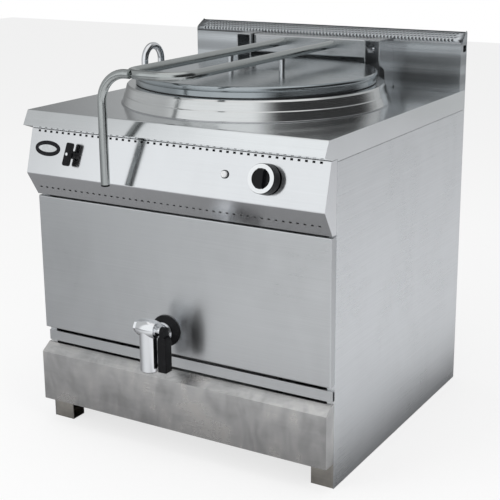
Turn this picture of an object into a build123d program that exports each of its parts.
"""Free-standing gas boiling pan: a steam jacketed kettle of about 135 litres in its cabinet.

Frame: X to the right, Y to the back, Z up, floor at Z = 0, millimetres.
The origin is under the middle of the whole object, pull handle included.
"""
from build123d import *
import math
import os

os.makedirs("parts", exist_ok=True)

# ---------------------------------------------------------------- driving dimensions
# cabinet
cabinet_width = 850.0
cabinet_depth = 785.0
worktop_height = 850.0
sheet = 1.5                  # cabinet sheet steel
worktop_sheet = 2.0
foot_height = 66.0
foot_width = 60.0
foot_depth = 45.0
foot_wall = 3.0
side_flange = 20.0
panel_gap = 1.0              # gap between neighbouring cabinet panels

# kickplate, lower rail and front panel
kick_reach = 39.0            # how far the kickplate stands before the cabinet front
kick_height = 134.0
kick_lip_rise = 19.0
kick_lip_depth = 28.0
rail_reach = 7.0
rail_height = 27.0
rail_gap = 13.0              # above the rail, to the front panel
front_panel_reach = 20.0
front_panel_height = 360.0
front_panel_round = 3.0
seam_height = 5.0            # open seams above the kickplate and above the front panel

# control panel, sloping forward to its lower edge, with a sloping underside
control_top_reach = 27.5
control_nose_reach = 58.0
underside_rise = 62.0
vent_count = 44
vent_pitch = 18.6
vent_width = 7.0
vent_height = 5.0
vent_edge_drop = 4.5

# worktop
worktop_rim = 54.0           # height of the worktop's side flanges
lip_drop = 48.0              # the front lip's inner edge below the worktop
fascia_height = 36.0
fascia_top_reach = 41.0
fascia_bottom_reach = 61.0
fascia_round = 4.0

# kettle
kettle_setback = 371.0       # kettle axis behind the cabinet front
vessel_radius = 300.0        # inside
vessel_wall = 3.0
vessel_depth = 480.0
dish_depth = 62.0
collar_height = 50.0
collar_foot_radius = 351.0
collar_top_radius = 338.0
collar_bead = 2.0
collar_bead_height = 23.0
collar_sheet = 2.0
jacket_gap = 40.0
jacket_wall = 3.0
jacket_top_drop = 130.0      # jacket top below the collar top
chamber_radius = 325.0
chamber_wall = 2.0
chamber_height = 351.0       # up to the jacket's dished bottom
chamber_lift = 52.0          # chamber floor above the base tray

# lid
lid_radius = 318.0
lid_height = 31.0
lid_sheet = 2.0
lid_neck_height = 13.0
lid_neck_step = 4.0
lid_seal_gap = 0.3
seal_height = 2.0
seal_width = 10.0

# lid frame: two bars, a front bow and a pull handle, all of one tube size
tube_radius = 11.0
frame_rise = 39.0            # tube axis above the lid
frame_half_width = 78.0
frame_reach = 104.0          # tube axis before the cabinet front
frame_bend = 55.0
pull_offset = 139.0          # pull handle left of the middle
pull_bend = 70.0
pull_length = 273.0          # from the frame's axis down to its end
pull_cap_length = 5.0
post_radius = 8.0

# hinge
beam_side = 52.0
beam_half_length = 178.0
beam_wall = 3.0
beam_end_wall = 8.0
hinge_setback = 690.0
hinge_gap = 3.0
hinge_post_width = 46.0
hinge_post_wall = 3.0
hinge_post_front = 684.0     # foot of the post, clear of the collar
hinge_cheek_front = 648.0    # cheeks of the post, over the collar
pin_radius = 8.0
pin_overlap = 26.0           # pin length inside the beam
bush_wall = 3.0
running_clearance = 0.05
seat_clearance = 0.01

# flue
flue_front = 741.0
flue_top_back = 779.0
flue_front_rise = 141.0
flue_back_rise = 162.0
flue_foot_gap = 5.0
flue_sheet = 1.5
grille_slot_width = 4.4
grille_slot_pitch = 10.6
grille_slot_count = 77
grille_drop = 12.0           # the grille's front flange, with its own slots
grille_edge = 6.0
flue_notch_depth = 22.0
flue_notch_height = 18.0

# knob, igniter and water valve on the control panel
knob_x = 270.0
knob_drop = 56.0             # control centres below the panel's top edge, along the slope
knob_radius = 36.0
knob_top_radius = 34.5
knob_depth = 23.0
knob_ring_radius = 33.5
knob_ring_width = 10.0
knob_ring_height = 2.0
knob_grip_width = 17.0
knob_grip_height = 9.0
knob_travel = 4.0
spindle_radius = 4.0
spindle_hole = 5.0
spindle_reach = 14.0         # behind the panel's face, with the knob out
spindle_room = 2.0           # left in the gas valve's socket with the knob pushed in
igniter_x = 159.0
button_radius = 8.0
button_height = 5.0
bezel_radius = 10.0
bezel_height = 2.5
button_travel = 3.0
valve_x = -285.0
valve_hub_radius = 10.0
valve_handle_width = 14.0
valve_handle_length = 58.0
valve_handle_depth = 14.0
valve_hub_height = 12.0
valve_handle_tilt = -8.0     # the handle's top leans to the right at rest
valve_body_depth = 30.0
valve_bore_depth = 22.0

# drain tap
tap_x = -33.0
drain_drop = 96.0            # from the vessel's bottom down to the drain pipe's axis
drain_pipe_radius = 18.0
drain_pipe_wall = 3.0
drain_bend = 40.0
drain_inset = 150.0          # drain hole in front of the kettle axis
rosette_radius = 40.0
rosette_depth = 14.0
rosette_nose_radius = 27.0
tap_reach = 94.0
tap_rise = 29.0              # plug axis above the drain pipe's axis
barrel_radius = 24.0
barrel_half_length = 25.0
barrel_end_radius = 20.5
spout_radius = 24.0
spout_length = 109.0
spout_bore_depth = 62.0
spout_wall = 5.0
plug_radius = 14.0
plug_slot_width = 16.0       # groove under the plug that joins inlet and spout when open
plug_slot_depth = 6.0
port_radius = 6.0
port_spacing = 20.0          # from the inlet's port behind to the spout's port in front
plug_nut_size = 15.5         # corner radius of the plug's hexagon nut
plug_nut_width = 9.0
plug_tip_radius = 6.0
plug_tip_length = 6.0
lever_neck_radius = 9.5
lever_neck_length = 13.0
lever_width = 13.0
grip_width = 25.0
grip_depth = 27.0
grip_start = 14.0
grip_length = 88.0

# fill spout
faucet_x = -365.0
faucet_setback = 460.0
faucet_base_radius = 21.0
faucet_base_height = 6.0
faucet_neck_radius = 15.0
faucet_neck_height = 40.0
faucet_shank_radius = 12.0
faucet_shank_length = 46.0
spout_tube_radius = 9.5
spout_leg_spacing = 78.0
spout_rise = 78.0            # centre of the bow above the worktop
spout_drop = 14.0
aerator_radius = 12.0
aerator_height = 12.0
stem_radius = 7.0
stem_length = 30.0

# gas train, burner and water supply inside the cabinet
burner_radius = 170.0
burner_tube = 16.0
burner_height = 78.0         # burner axis above the chamber floor
gas_feed_x = 90.0
gas_pipe_radius = 8.0
pipe_bend = 22.0
inlet_height = 30.0          # supply stubs end this far above the floor
inlet_inset = 60.0           # supply stubs in front of the cabinet back
inlet_side = 40.0            # supply stubs inside the cabinet's sides: gas right, water left
water_pipe_radius = 7.5
safety_valve_angle = 40.0    # towards the right rear, on the jacket's shoulder
safety_valve_height = 52.0
gas_valve_size = (64.0, 46.0, 54.0)
gas_valve_neck = 16.0
duct_width = 300.0
duct_depth = 44.0
duct_wall = 1.5

# ---------------------------------------------------------------- shared places
half_width = cabinet_width / 2
gas_inlet_x = half_width - inlet_side
water_inlet_x = inlet_side - half_width
front = -(cabinet_depth - max(frame_reach + tube_radius, tap_reach + spout_radius)) / 2
back = front + cabinet_depth
kettle_y = front + kettle_setback
side_top = worktop_height - worktop_rim
kick_top = foot_height + kick_height
rail_bottom = kick_top + kick_lip_rise + seam_height
panel_bottom = rail_bottom + rail_height + rail_gap
panel_top = panel_bottom + front_panel_height
underside_back = panel_top + seam_height
nose_height = underside_back + underside_rise
control_top = worktop_height - lip_drop - panel_gap
control_height = control_top - nose_height
collar_top = worktop_height + collar_height
vessel_outer = vessel_radius + vessel_wall
vessel_bottom = collar_top - vessel_depth
jacket_radius = vessel_outer + jacket_gap
jacket_top = collar_top - jacket_top_drop
lid_bottom = collar_top + lid_seal_gap + seal_height
lid_top = collar_top + lid_height
frame_z = lid_top + frame_rise
frame_front = front - frame_reach
hinge_y = front + hinge_setback
hinge_z = frame_z - 9.0
beam_front = hinge_y - beam_side / 2
tap_y = front - tap_reach
drain_height = vessel_bottom - drain_drop
tap_z = drain_height + tap_rise
inner_half = half_width - sheet

# the control panel's slope, and a plane on it for anything that it carries
slope_run = control_nose_reach - control_top_reach
slope_length = math.hypot(slope_run, control_height)
slope_down = Vector(0, -slope_run / slope_length, -control_height / slope_length)
slope_out = Vector(0, -control_height / slope_length, slope_run / slope_length)
slope_top = Vector(0, front - control_top_reach, control_top)


def on_panel(x, drop, out=0.0):
    """Plane on the sloping control panel, Z pointing out of it and Y up along it."""
    origin = slope_top + slope_down * drop + slope_out * out + Vector(x, 0, 0)
    return Plane(origin=origin, x_dir=(1, 0, 0), z_dir=slope_out)


def slope_y(z, inset=0.0):
    """Y of the control panel's slope at height z, moved into the cabinet by inset."""
    return (front - control_top_reach - slope_run * (control_top - z) / control_height
            + inset * slope_length / control_height)


def save(part, label):
    """Name one finished piece and write it to its own STEP file."""
    part.label = label
    export_step(part, "parts/" + label + ".step")


# ---------------------------------------------------------------- cabinet
for side, label in ((-1, "side_panel_left"), (1, "side_panel_right")):
    with BuildPart() as side_panel:
        with BuildSketch():
            with Locations((side * (half_width - sheet / 2), (front + back) / 2)):
                Rectangle(sheet, cabinet_depth)
            with Locations((side * (half_width - side_flange / 2), front + sheet / 2),
                           (side * (half_width - side_flange / 2), back - sheet / 2)):
                Rectangle(side_flange, sheet)
        extrude(amount=side_top - panel_gap)
        # the flanges stop short of the floor to leave room for the feet
        with BuildSketch(Plane.XY):
            with Locations((side * (half_width - sheet - side_flange / 2), (front + back) / 2)):
                Rectangle(side_flange, cabinet_depth + 2)
        extrude(amount=foot_height + 2, mode=Mode.SUBTRACT)
    save(side_panel.part, label)

with BuildPart() as base_tray:
    tray_lip = 24.0
    tray_y = (front + back) / 2
    tray_length = cabinet_depth - 2 * sheet - 2 * panel_gap
    with BuildSketch(Plane.XY.offset(foot_height)):
        with Locations((0, tray_y)):
            Rectangle(2 * inner_half, tray_length)
    extrude(amount=tray_lip)
    with BuildSketch(Plane.XY.offset(foot_height + sheet)):
        with Locations((0, tray_y)):
            Rectangle(2 * inner_half - 2 * sheet, tray_length - 2 * sheet)
    extrude(amount=tray_lip, mode=Mode.SUBTRACT)
    with BuildSketch(Plane.XY.offset(foot_height)):
        with Locations((0, kettle_y)):
            Rectangle(2 * burner_radius, 160)
        with Locations(*[(x, back - inlet_inset) for x in (gas_inlet_x, water_inlet_x)]):
            Circle(gas_pipe_radius + 2)
    extrude(amount=sheet, mode=Mode.SUBTRACT)
save(base_tray.part, "base_tray")

foot_x = inner_half - foot_width / 2
foot_places = [(sx * foot_x, y) for sx in (-1, 1)
               for y in (front + foot_depth / 2 + 1, back - foot_depth / 2 - 3)]
with BuildPart() as feet:
    with BuildSketch():
        with Locations(*foot_places):
            Rectangle(foot_width, foot_depth)
    extrude(amount=foot_height)
    with BuildSketch(Plane.XY.offset(foot_wall)):
        # each foot is open towards the cabinet's middle
        with Locations(*[(x - math.copysign(foot_wall, x), y) for x, y in foot_places]):
            Rectangle(foot_width, foot_depth - 2 * foot_wall)
    extrude(amount=foot_height, mode=Mode.SUBTRACT)
save(feet.part, "feet")

with BuildPart() as back_panel:
    back_bottom = foot_height + tray_lip + panel_gap
    with BuildSketch(Plane.XZ.offset(-(back - sheet))):
        with Locations((0, (back_bottom + side_top) / 2)):
            Rectangle(2 * (half_width - side_flange) - 2 * panel_gap, side_top - back_bottom)
        with GridLocations(60, 40, 7, 4):
            with Locations((0, 190)):
                SlotOverall(40, 8, mode=Mode.SUBTRACT)
    extrude(amount=-sheet)
save(back_panel.part, "back_panel")

with BuildPart() as kickplate:
    with BuildSketch(Plane.YZ):
        with BuildLine():
            Polyline((front - kick_reach, foot_height), (front - kick_reach, kick_top),
                     (front - kick_reach + kick_lip_depth, kick_top + kick_lip_rise),
                     (front, kick_top + kick_lip_rise), (front, foot_height), close=True)
        make_face()
    extrude(amount=half_width - panel_gap, both=True)
    with BuildSketch(Plane.YZ):
        with BuildLine():
            Polyline((front - kick_reach + sheet, foot_height - 1),
                     (front - kick_reach + sheet, kick_top - sheet),
                     (front - kick_reach + kick_lip_depth, kick_top + kick_lip_rise - 2 * sheet),
                     (front + 1, kick_top + kick_lip_rise - 2 * sheet), (front + 1, foot_height - 1),
                     close=True)
        make_face()
    extrude(amount=half_width - panel_gap - sheet, both=True, mode=Mode.SUBTRACT)
save(kickplate.part, "kickplate")

with BuildPart() as lower_rail:
    with BuildSketch(Plane.YZ):
        with Locations((front - rail_reach / 2, rail_bottom + rail_height / 2)):
            Rectangle(rail_reach, rail_height)
        with Locations((front - rail_reach / 2 + sheet, rail_bottom + rail_height / 2)):
            Rectangle(rail_reach, rail_height - 2 * sheet, mode=Mode.SUBTRACT)
    extrude(amount=half_width - 2 * panel_gap, both=True)
save(lower_rail.part, "lower_rail")

with BuildPart() as front_panel:
    panel_z = (panel_bottom + panel_top) / 2
    with BuildSketch(Plane.XZ.offset(-front)):
        with Locations((0, panel_z)):
            Rectangle(2 * half_width - 2 * panel_gap, front_panel_height)
    extrude(amount=front_panel_reach)
    fillet(front_panel.faces().sort_by(Axis.Y)[0].edges(), front_panel_round)
    with BuildSketch(Plane.XZ.offset(-front)):
        with Locations((0, panel_z)):
            Rectangle(2 * half_width - 2 * panel_gap - 2 * sheet, front_panel_height - 2 * sheet)
    extrude(amount=front_panel_reach - sheet, mode=Mode.SUBTRACT)
    with BuildSketch(Plane.XZ.offset(-front)):
        with Locations((tap_x, drain_height)):
            Circle(drain_pipe_radius + 6)
    extrude(amount=front_panel_reach, mode=Mode.SUBTRACT)
save(front_panel.part, "front_panel")

with BuildPart() as control_panel:
    with BuildSketch(Plane.YZ):
        with BuildLine():
            Polyline((front, control_top), (front - control_top_reach, control_top),
                     (front - control_nose_reach, nose_height),
                     (front - front_panel_reach, underside_back), (front, underside_back), close=True)
        make_face()
    extrude(amount=half_width - panel_gap / 2, both=True)
    nose_edge = control_panel.edges().filter_by(Axis.X).sort_by(Axis.Y)[0]
    fillet(nose_edge, 4)
    with BuildSketch(Plane.YZ):
        with BuildLine():
            Polyline((front + 1, control_top - sheet),
                     (slope_y(control_top - sheet, sheet), control_top - sheet),
                     (slope_y(nose_height, sheet), nose_height),
                     (front - front_panel_reach + sheet, underside_back + sheet),
                     (front + 1, underside_back + sheet), close=True)
        make_face()
    extrude(amount=half_width - panel_gap / 2 - sheet, both=True, mode=Mode.SUBTRACT)
    # a row of vent slots under the worktop's edge, and one in the sloping underside
    with BuildSketch(on_panel(0, vent_edge_drop)):
        with GridLocations(vent_pitch, vent_pitch, vent_count, 1):
            Rectangle(vent_width, vent_height)
    extrude(amount=4 * sheet, both=True, mode=Mode.SUBTRACT)
    under_run = control_nose_reach - front_panel_reach
    under_plane = Plane(origin=(0, front - control_nose_reach + 0.62 * under_run,
                                nose_height - 0.62 * underside_rise),
                        x_dir=(1, 0, 0), z_dir=(0, -underside_rise, -under_run))
    with BuildSketch(under_plane):
        with GridLocations(vent_pitch, vent_pitch, vent_count, 1):
            Rectangle(vent_width, vent_height)
    extrude(amount=3 * sheet, both=True, mode=Mode.SUBTRACT)
    # holes for the spindles of the controls
    with BuildSketch(on_panel(knob_x, knob_drop)):
        Circle(spindle_hole)
    extrude(amount=4 * sheet, both=True, mode=Mode.SUBTRACT)
    with BuildSketch(on_panel(igniter_x, knob_drop)):
        Circle(button_radius + 1)
    extrude(amount=4 * sheet, both=True, mode=Mode.SUBTRACT)
    with BuildSketch(on_panel(valve_x, knob_drop)):
        Circle(spindle_hole)
    extrude(amount=4 * sheet, both=True, mode=Mode.SUBTRACT)
save(control_panel.part, "control_panel")

with BuildPart() as worktop:
    with BuildSketch(Plane.YZ):
        with BuildLine():
            Polyline((front - fascia_top_reach, worktop_height),
                     (front - fascia_bottom_reach, worktop_height - fascia_height),
                     (front - control_top_reach, worktop_height - lip_drop),
                     (front, worktop_height - lip_drop), (front, side_top), (back, side_top),
                     (back, worktop_height), close=True)
        make_face()
    extrude(amount=half_width, both=True)
    fillet(worktop.edges().filter_by(Axis.X).group_by(Axis.Z)[-1].sort_by(Axis.Y)[0], fascia_round)
    with BuildSketch(Plane.YZ):
        with BuildLine():
            Polyline((front - fascia_top_reach + 1.5 * worktop_sheet, worktop_height - worktop_sheet),
                     (front - fascia_bottom_reach + 1.8 * worktop_sheet,
                      worktop_height - fascia_height + 0.3 * worktop_sheet),
                     (front - control_top_reach + 2 * worktop_sheet,
                      worktop_height - lip_drop + worktop_sheet),
                     (front + worktop_sheet, worktop_height - lip_drop + worktop_sheet),
                     (front + worktop_sheet, side_top - 1),
                     (back - worktop_sheet, side_top - 1),
                     (back - worktop_sheet, worktop_height - worktop_sheet), close=True)
        make_face()
    extrude(amount=half_width - worktop_sheet, both=True, mode=Mode.SUBTRACT)
    with BuildSketch(Plane.XY.offset(worktop_height)):
        with Locations((0, kettle_y)):
            Circle(vessel_outer + 12)
        with Locations((faucet_x, front + faucet_setback)):
            Circle(faucet_shank_radius + seat_clearance)
        with Locations((0, (front + flue_front + back) / 2)):
            Rectangle(duct_width - 2 * duct_wall, duct_depth - 10)
    extrude(amount=-2 * worktop_sheet, mode=Mode.SUBTRACT)
save(worktop.part, "worktop")

# ---------------------------------------------------------------- kettle
kettle_plane = Plane(origin=(0, kettle_y, 0), x_dir=(1, 0, 0), z_dir=(0, -1, 0))
kettle_axis = Axis((0, kettle_y, 0), (0, 0, 1))

with BuildPart() as kettle_collar:
    bead_z = worktop_height + collar_bead_height
    bead_radius = (collar_foot_radius
                   - (collar_foot_radius - collar_top_radius) * collar_bead_height / collar_height)
    with BuildSketch(kettle_plane):
        with BuildLine():
            Polyline((collar_foot_radius, worktop_height),
                     (bead_radius, bead_z), (bead_radius - collar_bead, bead_z + collar_bead),
                     (collar_top_radius, collar_top - 4), (collar_top_radius - 4, collar_top),
                     (vessel_outer, collar_top), (vessel_outer, collar_top - collar_sheet),
                     (collar_top_radius - 5, collar_top - collar_sheet),
                     (collar_top_radius - 5, collar_top - 8),
                     (collar_foot_radius - collar_sheet - 5, worktop_height), close=True)
        make_face()
    revolve(axis=kettle_axis)
save(kettle_collar.part, "kettle_collar")


def dish(radius, edge_z, depth):
    """Line and arc of a dished bottom, from its edge to the axis."""
    sphere = (radius ** 2 + depth ** 2) / (2 * depth)
    middle = (radius / 2, edge_z - depth + sphere - math.sqrt(sphere ** 2 - radius ** 2 / 4))
    return ThreePointArc((radius, edge_z), middle, (0, edge_z - depth))


vessel_edge = vessel_bottom + dish_depth
drain_y = kettle_y - drain_inset
with BuildPart() as inner_vessel:
    with BuildSketch(kettle_plane):
        with BuildLine():
            Line((vessel_radius, collar_top), (vessel_radius, vessel_edge))
            dish(vessel_radius, vessel_edge, dish_depth)
            Line((0, vessel_bottom), (0, vessel_bottom - vessel_wall))
            dish(vessel_outer, vessel_edge, dish_depth + vessel_wall)
            Line((vessel_outer, vessel_edge), (vessel_outer, collar_top))
            Line((vessel_outer, collar_top), (vessel_radius, collar_top))
        make_face()
    revolve(axis=kettle_axis)
    with BuildSketch(Plane.XY.offset(vessel_bottom - 20)):
        with Locations((tap_x, drain_y)):
            Circle(drain_pipe_radius + seat_clearance)
    extrude(amount=dish_depth + 40, mode=Mode.SUBTRACT)
save(inner_vessel.part, "inner_vessel")

jacket_edge = vessel_edge
jacket_dish = dish_depth + jacket_gap
with BuildPart() as steam_jacket:
    with BuildSketch(kettle_plane):
        with BuildLine():
            Line((vessel_outer, jacket_top), (jacket_radius, jacket_top - jacket_gap / 2))
            Line((jacket_radius, jacket_top - jacket_gap / 2), (jacket_radius, jacket_edge))
            dish(jacket_radius, jacket_edge, jacket_dish)
            Line((0, jacket_edge - jacket_dish), (0, jacket_edge - jacket_dish + jacket_wall))
            dish(jacket_radius - jacket_wall, jacket_edge, jacket_dish - jacket_wall)
            Line((jacket_radius - jacket_wall, jacket_edge),
                 (jacket_radius - jacket_wall, jacket_top - jacket_gap / 2 - jacket_wall))
            Line((jacket_radius - jacket_wall, jacket_top - jacket_gap / 2 - jacket_wall),
                 (vessel_outer, jacket_top - jacket_wall))
            Line((vessel_outer, jacket_top - jacket_wall), (vessel_outer, jacket_top))
        make_face()
    revolve(axis=kettle_axis)
    with BuildSketch(Plane.XY.offset(jacket_edge - jacket_dish - 20)):
        with Locations((tap_x, drain_y)):
            Circle(drain_pipe_radius + seat_clearance)
    extrude(amount=jacket_gap + 60, mode=Mode.SUBTRACT)
save(steam_jacket.part, "steam_jacket")

chamber_floor = foot_height + chamber_lift
with BuildPart() as combustion_chamber:
    with BuildSketch(Plane.XY.offset(chamber_floor)):
        with Locations((0, kettle_y)):
            Circle(chamber_radius)
            Circle(chamber_radius - chamber_wall, mode=Mode.SUBTRACT)
    extrude(amount=chamber_height)
    with BuildSketch(Plane.XY.offset(chamber_floor)):
        with Locations((0, kettle_y)):
            Circle(chamber_radius)
            Circle(burner_radius - 40, mode=Mode.SUBTRACT)
    extrude(amount=chamber_wall)
    with BuildSketch(Plane.XZ.offset(-kettle_y)):
        with Locations((gas_feed_x, chamber_floor + burner_height)):
            Circle(gas_pipe_radius + seat_clearance)
        with Locations((tap_x, drain_height)):
            Circle(drain_pipe_radius + seat_clearance)
    extrude(amount=chamber_radius + 10, mode=Mode.SUBTRACT)
    # outlet for the burnt gas, into the flue duct
    with BuildSketch(Plane.XZ.offset(-kettle_y)):
        with Locations((0, chamber_floor + chamber_height - 60)):
            Rectangle(duct_width - 2 * duct_wall, 80)
    extrude(amount=-chamber_radius - 10, mode=Mode.SUBTRACT)
save(combustion_chamber.part, "combustion_chamber")

with BuildPart() as chamber_stand:
    stand_width = 30.0
    with BuildSketch(Plane.XY.offset(foot_height + sheet)):
        for sign in (-1, 1):
            with Locations((sign * (chamber_radius - 60), kettle_y)):
                Rectangle(stand_width, 260)
                Rectangle(stand_width - 6, 254, mode=Mode.SUBTRACT)
    extrude(amount=chamber_lift - sheet)
save(chamber_stand.part, "chamber_stand")

burner_z = chamber_floor + burner_height
with BuildPart() as burner:
    with BuildSketch(Plane(origin=(0, kettle_y, 0), x_dir=(1, 0, 0), z_dir=(0, -1, 0))):
        with Locations((burner_radius, burner_z)):
            RegularPolygon(burner_tube, 8)
            RegularPolygon(burner_tube - 3, 8, mode=Mode.SUBTRACT)
    revolve(axis=kettle_axis)
    with BuildSketch(Plane.XY.offset(burner_z + burner_tube - 6)):
        with Locations((0, kettle_y)):
            with PolarLocations(burner_radius, 24):
                Rectangle(12, 3)
    extrude(amount=8, mode=Mode.SUBTRACT)
    # legs that stand on the chamber floor
    with BuildSketch(Plane.XY.offset(chamber_floor + chamber_wall)):
        with Locations((0, kettle_y)):
            with PolarLocations(burner_radius, 3, start_angle=30):
                Rectangle(16, 6)
    extrude(until=Until.NEXT)
save(burner.part, "burner")

# ---------------------------------------------------------------- flue
grille_run = flue_top_back - flue_front
grille_slope = math.hypot(grille_run, flue_back_rise - flue_front_rise)
flue_bottom = worktop_height
with BuildPart() as flue_housing:
    with BuildSketch(Plane.YZ):
        with BuildLine():
            Polyline((front + flue_front, flue_bottom + flue_foot_gap),
                     (front + flue_front, worktop_height + flue_front_rise - grille_drop),
                     (front + flue_front + 6, worktop_height + flue_front_rise - grille_drop),
                     (front + flue_top_back - 6, worktop_height + flue_back_rise - 4),
                     (front + flue_top_back, worktop_height + flue_back_rise),
                     (back, worktop_height + flue_back_rise - 6), (back, flue_bottom),
                     (front + flue_front + 4, flue_bottom),
                     (front + flue_front + 4, flue_bottom + flue_foot_gap), close=True)
        make_face()
    extrude(amount=half_width, both=True)
    # hollow, and open on top under the grille
    with BuildSketch(Plane.YZ):
        with BuildLine():
            Polyline((front + flue_front + flue_sheet, flue_bottom + flue_foot_gap + 1),
                     (front + flue_front + flue_sheet, worktop_height + flue_front_rise + 20),
                     (front + flue_top_back - 1, worktop_height + flue_back_rise + 20),
                     (back - flue_sheet, worktop_height + flue_back_rise - 12),
                     (back - flue_sheet, flue_bottom - 1),
                     (front + flue_front + 4 + flue_sheet, flue_bottom - 1),
                     (front + flue_front + 4 + flue_sheet, flue_bottom + flue_foot_gap + 1),
                     close=True)
        make_face()
    extrude(amount=half_width - flue_sheet, both=True, mode=Mode.SUBTRACT)
    with BuildSketch(Plane.YZ):
        with Locations((back - flue_notch_depth / 2 - 6, worktop_height + flue_front_rise - 26)):
            Rectangle(flue_notch_depth, flue_notch_height)
    extrude(amount=half_width + 1, both=True, mode=Mode.SUBTRACT)
save(flue_housing.part, "flue_housing")

with BuildPart() as flue_grille:
    grille_front, grille_top = front + flue_front, worktop_height + flue_front_rise
    with BuildSketch(Plane.YZ):
        with BuildLine():
            Polyline((grille_front, grille_top - grille_drop), (grille_front, grille_top),
                     (front + flue_top_back - 7, worktop_height + flue_back_rise - 4.2),
                     (front + flue_top_back - 7, worktop_height + flue_back_rise - 4.2 - flue_sheet),
                     (grille_front + flue_sheet, grille_top - flue_sheet),
                     (grille_front + flue_sheet, grille_top - grille_drop), close=True)
        make_face()
    extrude(amount=half_width, both=True)
    grille_plane = Plane(origin=(0, front + flue_front + grille_run / 2 - 2,
                                 worktop_height + (flue_front_rise + flue_back_rise) / 2),
                         x_dir=(1, 0, 0),
                         z_dir=(0, flue_front_rise - flue_back_rise, grille_run))
    with BuildSketch(grille_plane):
        with GridLocations(grille_slot_pitch, 1, grille_slot_count, 1):
            Rectangle(grille_slot_width, grille_slope - 4 * grille_edge)
    extrude(amount=8, both=True, mode=Mode.SUBTRACT)
    with BuildSketch(Plane.XZ.offset(-grille_front)):
        with Locations((0, grille_top - grille_drop / 2)):
            with GridLocations(grille_slot_pitch, 1, grille_slot_count, 1):
                Rectangle(grille_slot_width, grille_drop - 3)
    extrude(amount=4, both=True, mode=Mode.SUBTRACT)
save(flue_grille.part, "flue_grille")

duct_top = worktop_height - worktop_sheet
duct_front = front + flue_front - 12
with BuildPart() as flue_duct:
    duct_middle = duct_front + duct_depth / 2
    outlet_bottom = chamber_floor + chamber_height - 100
    with BuildSketch(Plane.XY.offset(outlet_bottom)):
        with Locations((0, duct_middle)):
            Rectangle(duct_width, duct_depth)
    extrude(amount=duct_top - outlet_bottom)
    neck_front = kettle_y + math.sqrt(chamber_radius ** 2 - (duct_width / 2) ** 2)
    with BuildSketch(Plane.XZ.offset(-duct_front)):
        with Locations((0, chamber_floor + chamber_height - 60)):
            Rectangle(duct_width, 80)
    extrude(amount=duct_front - neck_front)
    with BuildSketch(Plane.XY.offset(outlet_bottom + duct_wall)):
        with Locations((0, duct_middle)):
            Rectangle(duct_width - 2 * duct_wall, duct_depth - 2 * duct_wall)
    extrude(amount=duct_top - outlet_bottom, mode=Mode.SUBTRACT)
    with BuildSketch(Plane.XZ.offset(-duct_middle)):
        with Locations((0, chamber_floor + chamber_height - 60)):
            Rectangle(duct_width - 2 * duct_wall, 80 - 2 * duct_wall)
    extrude(amount=duct_middle - neck_front + 40, mode=Mode.SUBTRACT)
    with BuildSketch(Plane.XY.offset(outlet_bottom - 1)):
        with Locations((0, kettle_y)):
            Circle(chamber_radius + seat_clearance)
    extrude(amount=chamber_height, mode=Mode.SUBTRACT)
save(flue_duct.part, "flue_duct")

# ---------------------------------------------------------------- lid
with BuildPart() as lid_shell:
    rim_round = (lid_height - seal_height - lid_neck_height) / 2
    neck_radius = lid_radius - lid_neck_step
    neck_top = lid_bottom + lid_neck_height
    with BuildSketch(kettle_plane):
        with BuildLine():
            Polyline((0, lid_top), (lid_radius - rim_round, lid_top - 2))
            ThreePointArc((lid_radius - rim_round, lid_top - 2),
                          (lid_radius, (lid_top + neck_top) / 2 - 1),
                          (neck_radius, neck_top))
            Polyline((neck_radius, neck_top), (neck_radius, lid_bottom),
                     (neck_radius - lid_sheet, lid_bottom),
                     (neck_radius - lid_sheet, lid_top - 2 - lid_sheet),
                     (0, lid_top - lid_sheet), (0, lid_top))
        make_face()
    revolve(axis=kettle_axis)
save(lid_shell.part, "lid_shell")

with BuildPart() as lid_inner:
    pan_radius = lid_radius - lid_neck_step - lid_sheet
    lip_radius = pan_radius - 33
    with BuildSketch(kettle_plane):
        with BuildLine():
            Polyline((0, lid_bottom + 7), (lip_radius + 3, lid_bottom + lid_sheet),
                     (pan_radius, lid_bottom + lid_sheet), (pan_radius, lid_bottom),
                     (lip_radius + 2, lid_bottom), (lip_radius, lid_bottom - 4),
                     (lip_radius - 2, lid_bottom - 4), (lip_radius - 2, lid_bottom),
                     (0, lid_bottom + 7 - lid_sheet), close=True)
        make_face()
    revolve(axis=kettle_axis)
save(lid_inner.part, "lid_inner")

with BuildPart() as lid_seal:
    with BuildSketch(Plane.XY.offset(collar_top + lid_seal_gap)):
        with Locations((0, kettle_y)):
            Circle(pan_radius)
            Circle(pan_radius - seal_width, mode=Mode.SUBTRACT)
    extrude(amount=seal_height)
save(lid_seal.part, "lid_seal")

# one bent tube: right bar, front bow, left bar
with BuildPart() as lid_frame:
    with BuildLine(Plane.XY.offset(frame_z)) as frame_path:
        FilletPolyline((frame_half_width, beam_front), (frame_half_width, frame_front),
                       (-frame_half_width, frame_front), (-frame_half_width, beam_front),
                       radius=frame_bend)
    with BuildSketch(Plane(origin=(frame_half_width, beam_front, frame_z), x_dir=(1, 0, 0),
                           z_dir=(0, -1, 0))):
        Circle(tube_radius)
    sweep()
save(lid_frame.part, "lid_frame")

# the pull handle leaves the frame's left corner and drops before the control panel
pull_start = -frame_half_width + 0.4 * frame_bend
pull_end_z = frame_z - pull_length
with BuildPart() as pull_handle:
    with BuildLine(Plane.XZ.offset(-frame_front)) as pull_path:
        FilletPolyline((pull_start, frame_z), (-pull_offset, frame_z),
                       (-pull_offset, pull_end_z + pull_cap_length), radius=pull_bend)
    with BuildSketch(Plane(origin=(pull_start, frame_front, frame_z), x_dir=(0, 1, 0),
                           z_dir=(-1, 0, 0))):
        Circle(tube_radius)
    sweep()
    add(lid_frame.part, mode=Mode.SUBTRACT)
save(pull_handle.part, "pull_handle")

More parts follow.
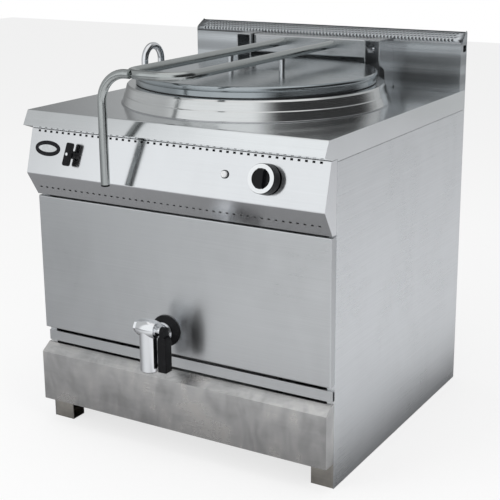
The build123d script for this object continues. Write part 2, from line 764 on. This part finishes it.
with BuildPart() as pull_handle_cap:
    with BuildSketch(Plane.XY.offset(pull_end_z)):
        with Locations((-pull_offset, frame_front)):
            Circle(tube_radius)
    extrude(amount=pull_cap_length)
    fillet(pull_handle_cap.edges().sort_by(Axis.Z)[0], 3.5)
save(pull_handle_cap.part, "pull_handle_cap")

with BuildPart() as lid_posts:
    with BuildSketch(Plane.XY.offset(lid_top - 0.5)):
        with Locations((-frame_half_width, kettle_y), (frame_half_width, kettle_y)):
            Circle(post_radius)
    extrude(amount=frame_rise + 0.5)
    add(lid_frame.part, mode=Mode.SUBTRACT)
    add(lid_shell.part, mode=Mode.SUBTRACT)
save(lid_posts.part, "lid_posts")

# ---------------------------------------------------------------- hinge
hinge_plane = Plane(origin=(0, hinge_y, hinge_z), x_dir=(0, 1, 0), z_dir=(1, 0, 0))
bush_radius = pin_radius + bush_wall
with BuildPart() as hinge_beam:
    with BuildSketch(hinge_plane):
        RectangleRounded(beam_side, beam_side, 4)
    extrude(amount=beam_half_length, both=True)
    with BuildSketch(hinge_plane):
        Rectangle(beam_side - 2 * beam_wall, beam_side - 2 * beam_wall)
    extrude(amount=beam_half_length - beam_end_wall, both=True, mode=Mode.SUBTRACT)
    with BuildSketch(hinge_plane):
        Circle(bush_radius)
    extrude(amount=beam_half_length + 1, both=True, mode=Mode.SUBTRACT)
save(hinge_beam.part, "hinge_beam")

bush_length = beam_end_wall + 4
with BuildPart() as hinge_bushes:
    for sign in (-1, 1):
        with BuildSketch(hinge_plane.offset(sign * beam_half_length)):
            Circle(bush_radius - seat_clearance)
            Circle(pin_radius + running_clearance, mode=Mode.SUBTRACT)
        extrude(amount=-sign * bush_length)
save(hinge_bushes.part, "hinge_bushes")

post_inner = beam_half_length + hinge_gap
post_top = worktop_height + flue_front_rise - 3
foot_y = front + hinge_post_front
cheek_front = front + hinge_cheek_front
post_back = front + flue_front
for side, label in ((-1, "hinge_post_left"), (1, "hinge_post_right")):
    with BuildPart() as hinge_post:
        # a channel, open to the front: two cheeks, a back and a top
        post_side = side * post_inner
        for cheek in (0, hinge_post_width - hinge_post_wall):
            with BuildSketch(Plane.YZ.offset(post_side + side * cheek)):
                with BuildLine():
                    Polyline((foot_y, worktop_height), (foot_y, collar_top + 5),
                             (cheek_front, collar_top + 22), (cheek_front, post_top),
                             (post_back, post_top), (post_back, worktop_height), close=True)
                make_face()
            extrude(amount=side * hinge_post_wall)
        with BuildSketch(Plane.YZ.offset(post_side)):
            with Locations((post_back - hinge_post_wall / 2, (worktop_height + post_top) / 2)):
                Rectangle(hinge_post_wall, post_top - worktop_height)
            with Locations(((cheek_front + post_back) / 2, post_top - hinge_post_wall / 2)):
                Rectangle(post_back - cheek_front, hinge_post_wall)
        extrude(amount=side * hinge_post_width)
        with BuildSketch(hinge_plane.offset(side * (post_inner - 1))):
            Circle(pin_radius + seat_clearance)
        extrude(amount=side * (hinge_post_wall + 2), mode=Mode.SUBTRACT)
    save(hinge_post.part, label)

with BuildPart() as hinge_pins:
    for sign in (-1, 1):
        with BuildSketch(hinge_plane.offset(sign * (post_inner - hinge_gap - pin_overlap))):
            Circle(pin_radius)
        extrude(amount=sign * (pin_overlap + hinge_gap + hinge_post_wall + 12))
        with BuildSketch(hinge_plane.offset(sign * (post_inner + hinge_post_wall))):
            RegularPolygon(pin_radius + 5, 6)
            Circle(pin_radius, mode=Mode.SUBTRACT)
        extrude(amount=sign * 8)
save(hinge_pins.part, "hinge_pins")

# ---------------------------------------------------------------- drain
with BuildPart() as drain_pipe:
    drain_top = vessel_bottom + 2
    pipe_front = tap_y + spout_radius + 6
    with BuildLine(Plane.YZ.offset(tap_x)) as drain_path:
        FilletPolyline((drain_y, drain_top), (drain_y, drain_height), (pipe_front, drain_height),
                       radius=drain_bend)
    with BuildSketch(Plane(origin=(tap_x, drain_y, drain_top), x_dir=(1, 0, 0), z_dir=(0, 0, -1))):
        Circle(drain_pipe_radius)
        Circle(drain_pipe_radius - drain_pipe_wall, mode=Mode.SUBTRACT)
    sweep()
save(drain_pipe.part, "drain_pipe")

with BuildPart() as drain_strainer:
    strainer_radius = drain_pipe_radius - drain_pipe_wall
    with BuildSketch(Plane.XY.offset(drain_top - 12)):
        with Locations((tap_x, drain_y)):
            Circle(strainer_radius - seat_clearance)
            Circle(strainer_radius - 2, mode=Mode.SUBTRACT)
    extrude(amount=12)
    with BuildSketch(Plane.XY.offset(drain_top)):
        with Locations((tap_x, drain_y)):
            Circle(strainer_radius + 2)
            with PolarLocations(9, 6):
                Circle(2.5, mode=Mode.SUBTRACT)
            Circle(2.5, mode=Mode.SUBTRACT)
    extrude(amount=2)
save(drain_strainer.part, "drain_strainer")

panel_face = front - front_panel_reach
with BuildPart() as drain_rosette:
    with BuildSketch(Plane.YZ.offset(tap_x)):
        with BuildLine():
            Polyline((panel_face, drain_height + drain_pipe_radius + seat_clearance),
                     (panel_face, drain_height + rosette_radius),
                     (panel_face - 4, drain_height + rosette_radius),
                     (panel_face - rosette_depth, drain_height + rosette_nose_radius),
                     (panel_face - rosette_depth, drain_height + drain_pipe_radius + seat_clearance),
                     close=True)
        make_face()
    revolve(axis=Axis((tap_x, 0, drain_height), (0, 1, 0)))
save(drain_rosette.part, "drain_rosette")

plug_plane = Plane(origin=(tap_x, tap_y, tap_z), x_dir=(0, 1, 0), z_dir=(1, 0, 0))
plug_axis = Axis((tap_x, tap_y, tap_z), (1, 0, 0))
spout_bottom = tap_z - spout_length
port_y = port_spacing / 2
with BuildPart() as tap_body:
    # barrel round the plug, a little bulged
    with BuildSketch(Plane.XZ.offset(-tap_y)):
        with BuildLine():
            ThreePointArc((tap_x - barrel_half_length, tap_z + barrel_end_radius),
                          (tap_x, tap_z + barrel_radius),
                          (tap_x + barrel_half_length, tap_z + barrel_end_radius))
            Polyline((tap_x + barrel_half_length, tap_z + barrel_end_radius),
                     (tap_x + barrel_half_length, tap_z), (tap_x - barrel_half_length, tap_z),
                     (tap_x - barrel_half_length, tap_z + barrel_end_radius))
        make_face()
    revolve(axis=plug_axis)
    # inlet boss towards the cabinet
    with BuildSketch(Plane.XZ.offset(-tap_y)):
        with Locations((tap_x, drain_height)):
            Circle(drain_pipe_radius + 3)
    extrude(amount=-(spout_radius + 16))
    # spout
    with BuildSketch(Plane.XY.offset(tap_z)):
        with Locations((tap_x, tap_y)):
            Circle(spout_radius - 0.5)
    extrude(amount=-spout_length)
    chamfer(tap_body.edges().filter_by(GeomType.CIRCLE).sort_by(Axis.Z)[0], 3, 3)
    with BuildSketch(Plane.XY.offset(spout_bottom)):
        with Locations((tap_x, tap_y)):
            Circle(spout_radius - spout_wall)
    extrude(amount=spout_bore_depth, mode=Mode.SUBTRACT)
    # inlet passage, and one port up to the plug from it and one down to the spout
    with BuildSketch(Plane.XZ.offset(-(tap_y + 2))):
        with Locations((tap_x, drain_height)):
            Circle(drain_pipe_radius - drain_pipe_wall)
    extrude(amount=-(spout_radius + 20), mode=Mode.SUBTRACT)
    with BuildSketch(Plane.XZ.offset(-(tap_y + spout_radius + 4))):
        with Locations((tap_x, drain_height)):
            Circle(drain_pipe_radius + seat_clearance)
    extrude(amount=-20, mode=Mode.SUBTRACT)
    with BuildSketch(Plane.XY.offset(tap_z)):
        with Locations((tap_x, tap_y + port_y)):
            Circle(port_radius)
    extrude(amount=-tap_rise, mode=Mode.SUBTRACT)
    with BuildSketch(Plane.XY.offset(tap_z)):
        with Locations((tap_x, tap_y - port_y)):
            Circle(port_radius)
    extrude(amount=-(spout_length - spout_bore_depth + 1), mode=Mode.SUBTRACT)
    with BuildSketch(plug_plane):
        Circle(plug_radius + running_clearance)
    extrude(amount=barrel_half_length + 1, both=True, mode=Mode.SUBTRACT)
save(tap_body.part, "tap_body")

hub_inner = barrel_half_length + 0.3
with BuildPart() as tap_plug:
    with BuildSketch(plug_plane.offset(-hub_inner)):
        Circle(plug_radius)
    extrude(amount=2 * hub_inner)
    # closed at rest: the groove is at the back, and a quarter turn brings it down over both ports
    with BuildSketch(Plane.XY.offset(tap_z - plug_radius - 1)):
        with Locations((tap_x, tap_y + plug_radius - plug_slot_depth / 2 + 1)):
            Rectangle(plug_slot_width, plug_slot_depth + 2)
    extrude(amount=2 * plug_radius + 2, mode=Mode.SUBTRACT)
save(tap_plug.part, "tap_plug")

with BuildPart() as tap_nut:
    with BuildSketch(plug_plane.offset(-hub_inner)):
        Circle(plug_nut_size + 2)
    extrude(amount=-2.5)
    with BuildSketch(plug_plane.offset(-hub_inner - 2.5)):
        RegularPolygon(plug_nut_size, 6)
    extrude(amount=-plug_nut_width)
    with BuildSketch(plug_plane.offset(-hub_inner - 2.5 - plug_nut_width)):
        Circle(plug_tip_radius)
    extrude(amount=-plug_tip_length)
save(tap_nut.part, "tap_nut")

with BuildPart() as tap_lever:
    with BuildSketch(plug_plane.offset(hub_inner)):
        Circle(plug_nut_size)
    extrude(amount=3)
    with BuildSketch(plug_plane.offset(hub_inner + 3)):
        Circle(lever_neck_radius)
    extrude(amount=lever_neck_length - 3)
save(tap_lever.part, "tap_lever")

# the black lever: an arm on the neck's end that widens into the grip
grip_x = tap_x + hub_inner + lever_neck_length + lever_width / 2
with BuildPart() as tap_grip:
    with BuildSketch(plug_plane.offset(hub_inner + lever_neck_length)):
        Circle(lever_neck_radius + 2)
        with Locations((0, -grip_start / 2)):
            Rectangle(2 * lever_neck_radius + 4, grip_start)
    extrude(amount=lever_width)
    with BuildSketch(Plane.XY.offset(tap_z - grip_start)):
        with Locations((grip_x, tap_y)):
            RectangleRounded(grip_width - 3, grip_depth - 3, 3)
    with BuildSketch(Plane.XY.offset(tap_z - grip_start - 10)):
        with Locations((grip_x, tap_y)):
            RectangleRounded(grip_width, grip_depth, 3)
    with BuildSketch(Plane.XY.offset(tap_z - grip_start - grip_length)):
        with Locations((grip_x, tap_y)):
            RectangleRounded(grip_width, grip_depth, 3)
    loft(ruled=True)
save(tap_grip.part, "tap_grip")

# ---------------------------------------------------------------- fill spout
faucet_y = front + faucet_setback
faucet_plane = Plane(origin=(faucet_x, faucet_y, 0), x_dir=(1, 0, 0), z_dir=(0, -1, 0))
faucet_axis = Axis((faucet_x, faucet_y, 0), (0, 0, 1))
neck_z = worktop_height + faucet_neck_height
with BuildPart() as faucet_base:
    shank_bottom = worktop_height - faucet_shank_length
    with BuildSketch(faucet_plane):
        with BuildLine():
            Polyline((0, shank_bottom), (faucet_shank_radius, shank_bottom),
                     (faucet_shank_radius, worktop_height), (faucet_base_radius, worktop_height),
                     (faucet_base_radius, worktop_height + faucet_base_height - 2),
                     (faucet_base_radius - 2, worktop_height + faucet_base_height),
                     (faucet_neck_radius, worktop_height + faucet_base_height),
                     (faucet_neck_radius, neck_z - 3), (faucet_neck_radius - 3, neck_z),
                     (stem_radius + running_clearance, neck_z),
                     (stem_radius + running_clearance, neck_z - stem_length - 0.5),
                     (0, neck_z - stem_length - 0.5), close=True)
        make_face()
    revolve(axis=faucet_axis)
save(faucet_base.part, "faucet_base")

with BuildPart() as faucet_nut:
    with BuildSketch(Plane.XY.offset(worktop_height - worktop_sheet)):
        with Locations((faucet_x, faucet_y)):
            RegularPolygon(faucet_shank_radius + 8, 6)
            Circle(faucet_shank_radius + seat_clearance, mode=Mode.SUBTRACT)
    extrude(amount=-9)
save(faucet_nut.part, "faucet_nut")

spout_z = worktop_height + spout_rise
nozzle_y = faucet_y - spout_leg_spacing
with BuildPart() as fill_spout:
    riser_z = neck_z + 0.3
    with BuildLine(Plane.YZ.offset(faucet_x)):
        Line((faucet_y, riser_z), (faucet_y, spout_z))
        ThreePointArc((faucet_y, spout_z),
                      ((faucet_y + nozzle_y) / 2, spout_z + spout_leg_spacing / 2),
                      (nozzle_y, spout_z))
        Line((nozzle_y, spout_z), (nozzle_y, spout_z - spout_drop))
    with BuildSketch(Plane.XY.offset(riser_z)):
        with Locations((faucet_x, faucet_y)):
            Circle(spout_tube_radius)
    sweep()
    with BuildSketch(Plane.XY.offset(riser_z)):
        with Locations((faucet_x, faucet_y)):
            Circle(stem_radius)
    extrude(amount=-stem_length)
save(fill_spout.part, "fill_spout")

with BuildPart() as aerator:
    with BuildSketch(Plane.XY.offset(spout_z - spout_drop)):
        with Locations((faucet_x, nozzle_y)):
            Circle(aerator_radius)
    extrude(amount=-aerator_height)
    with BuildSketch(Plane.XY.offset(spout_z - spout_drop - aerator_height)):
        with Locations((faucet_x, nozzle_y)):
            Circle(aerator_radius - 3)
    extrude(amount=4, mode=Mode.SUBTRACT)
save(aerator.part, "aerator")

# ---------------------------------------------------------------- controls
knob_gap = knob_travel + 0.5         # so that the knob can be pushed in
with BuildPart() as knob_spindle:
    with BuildSketch(on_panel(knob_x, knob_drop, knob_gap + knob_depth - 5)):
        Circle(spindle_radius)
    extrude(amount=-(knob_gap + knob_depth - 5 + spindle_reach))
save(knob_spindle.part, "knob_spindle")

with BuildPart() as knob:
    with BuildSketch(on_panel(knob_x, knob_drop, knob_gap)):
        Circle(knob_radius)
    with BuildSketch(on_panel(knob_x, knob_drop, knob_gap + knob_depth)):
        Circle(knob_top_radius)
    loft()
    with BuildSketch(on_panel(knob_x, knob_drop, knob_gap + knob_depth)):
        RectangleRounded(knob_grip_width, 2 * knob_ring_radius - 2 * knob_ring_width - 1.5, 5)
    extrude(amount=knob_grip_height)
    with BuildSketch(on_panel(knob_x, knob_drop, knob_gap)):
        Circle(spindle_radius + running_clearance)
    extrude(amount=knob_depth - 4.9, mode=Mode.SUBTRACT)
save(knob.part, "knob")

with BuildPart() as knob_ring:
    with BuildSketch(on_panel(knob_x, knob_drop, knob_gap + knob_depth)):
        Circle(knob_ring_radius)
        Circle(knob_ring_radius - knob_ring_width, mode=Mode.SUBTRACT)
    extrude(amount=knob_ring_height)
save(knob_ring.part, "knob_ring")

with BuildPart() as igniter_bezel:
    with BuildSketch(on_panel(igniter_x, knob_drop)):
        Circle(bezel_radius)
        Circle(button_radius + 0.4, mode=Mode.SUBTRACT)
    extrude(amount=bezel_height)
save(igniter_bezel.part, "igniter_bezel")

with BuildPart() as igniter_button:
    with BuildSketch(on_panel(igniter_x, knob_drop, -4)):
        Circle(button_radius)
    extrude(amount=4 + bezel_height + button_height)
    fillet(igniter_button.edges().filter_by(GeomType.CIRCLE).sort_by(Axis.Y)[0], 2)
save(igniter_button.part, "igniter_button")

with BuildPart() as igniter_body:
    with BuildSketch(on_panel(igniter_x, knob_drop, -sheet)):
        Circle(button_radius + 5)
        Circle(button_radius + 0.4, mode=Mode.SUBTRACT)
    extrude(amount=-12)
    with BuildSketch(on_panel(igniter_x, knob_drop, -sheet - 12)):
        Circle(button_radius + 5)
    extrude(amount=-16)
save(igniter_body.part, "igniter_body")

with BuildPart() as water_valve:
    with BuildSketch(on_panel(valve_x, knob_drop, -sheet)):
        Circle(valve_hub_radius + 2)
    extrude(amount=-valve_body_depth)
    valve_blank = water_valve.part
    with BuildSketch(on_panel(valve_x, knob_drop, -sheet)):
        Circle(spindle_radius + running_clearance)
    extrude(amount=-valve_bore_depth, mode=Mode.SUBTRACT)
save(water_valve.part, "water_valve")

with BuildPart() as water_handle:
    with BuildSketch(on_panel(valve_x, knob_drop, 0.4)):
        Circle(valve_hub_radius)
    extrude(amount=valve_hub_height)
    with BuildSketch(on_panel(valve_x, knob_drop, valve_hub_height)):
        RectangleRounded(valve_handle_width, valve_handle_length, 5, rotation=valve_handle_tilt)
    extrude(amount=valve_handle_depth)
    with BuildSketch(on_panel(valve_x, knob_drop, 0.4)):
        Circle(spindle_radius)
    extrude(amount=-valve_bore_depth)
save(water_handle.part, "water_handle")

# ---------------------------------------------------------------- gas and water inside
valve_long, valve_wide, valve_tall = gas_valve_size
with BuildPart() as gas_valve:
    with BuildSketch(on_panel(knob_x, knob_drop, -sheet)):
        Circle(spindle_radius + 8)
    extrude(amount=-gas_valve_neck)
    with BuildSketch(on_panel(knob_x, knob_drop, -sheet - gas_valve_neck)):
        RectangleRounded(valve_long, valve_wide, 5)
    extrude(amount=-valve_tall)
    with BuildSketch(on_panel(knob_x, knob_drop, -sheet)):
        Circle(spindle_radius + running_clearance)
    extrude(amount=-(spindle_reach + knob_travel + spindle_room), mode=Mode.SUBTRACT)
save(gas_valve.part, "gas_valve")


def tube_between(points, radius, bend):
    """Straight runs and tangent arcs through the points, swept with a round section."""
    with BuildPart() as tube:
        with BuildLine():
            FilletPolyline(*points, radius=bend)
        start, after = Vector(*points[0]), Vector(*points[1])
        with BuildSketch(Plane(origin=start, z_dir=after - start)):
            Circle(radius)
        sweep()
    return tube.part


# a point behind the control panel, where the gas valve's pipes start
valve_back = on_panel(knob_x, knob_drop, -sheet - gas_valve_neck - valve_tall).origin
feed_y = front + 12.0
with BuildPart() as gas_pipes:
    add(tube_between([(knob_x, feed_y, valve_back.Z), (knob_x, feed_y, burner_z),
                      (gas_feed_x, feed_y, burner_z),
                      (gas_feed_x, kettle_y - burner_radius + 30, burner_z)],
                     gas_pipe_radius, pipe_bend))
    add(burner.part, mode=Mode.SUBTRACT)
    add(gas_valve.part, mode=Mode.SUBTRACT)
gas_branch = gas_pipes.part.solids().sort_by(SortBy.VOLUME)[-1]
with BuildPart() as gas_pipes:
    add(gas_branch)
    supply_z = valve_back.Z + 5
    add(tube_between([(gas_inlet_x, back - inlet_inset, inlet_height),
                      (gas_inlet_x, back - inlet_inset, supply_z),
                      (gas_inlet_x, feed_y, supply_z), (knob_x + valve_long / 2, feed_y, supply_z)],
                     gas_pipe_radius, pipe_bend))
save(gas_pipes.part, "gas_pipes")

valve_end = on_panel(0, knob_drop, -sheet - valve_body_depth).origin
with BuildPart() as water_pipes:
    supply_y, supply_run_z = valve_end.Y - 9, valve_end.Z - 45
    add(tube_between([(valve_x, supply_y, valve_end.Z), (valve_x, supply_y, supply_run_z),
                      (water_inlet_x, supply_y, supply_run_z),
                      (water_inlet_x, back - inlet_inset, supply_run_z),
                      (water_inlet_x, back - inlet_inset, inlet_height)],
                     water_pipe_radius, pipe_bend))
    # from the valve's side up into the fill spout's shank
    outlet_y, outlet_z = valve_end.Y - 18, valve_end.Z + 5
    add(tube_between([(valve_x, outlet_y, outlet_z), (faucet_x, outlet_y, outlet_z),
                      (faucet_x, faucet_y, outlet_z), (faucet_x, faucet_y, shank_bottom)],
                     water_pipe_radius, pipe_bend))
    add(valve_blank, mode=Mode.SUBTRACT)
save(water_pipes.part, "water_pipes")

valve_angle = math.radians(safety_valve_angle)
valve_ring = (vessel_outer + jacket_radius) / 2
with BuildPart() as safety_valve:
    with BuildSketch(Plane.XY.offset(jacket_top - 30)):
        with Locations((valve_ring * math.cos(valve_angle),
                        kettle_y + valve_ring * math.sin(valve_angle))):
            Circle(10)
    extrude(amount=30 + safety_valve_height)
    with BuildSketch(Plane.XY.offset(jacket_top + 14)):
        with Locations((valve_ring * math.cos(valve_angle),
                        kettle_y + valve_ring * math.sin(valve_angle))):
            RegularPolygon(16, 6)
    extrude(amount=12)
    add(steam_jacket.part, mode=Mode.SUBTRACT)
save(safety_valve.part.solids().sort_by(Axis.Z)[-1], "safety_valve")
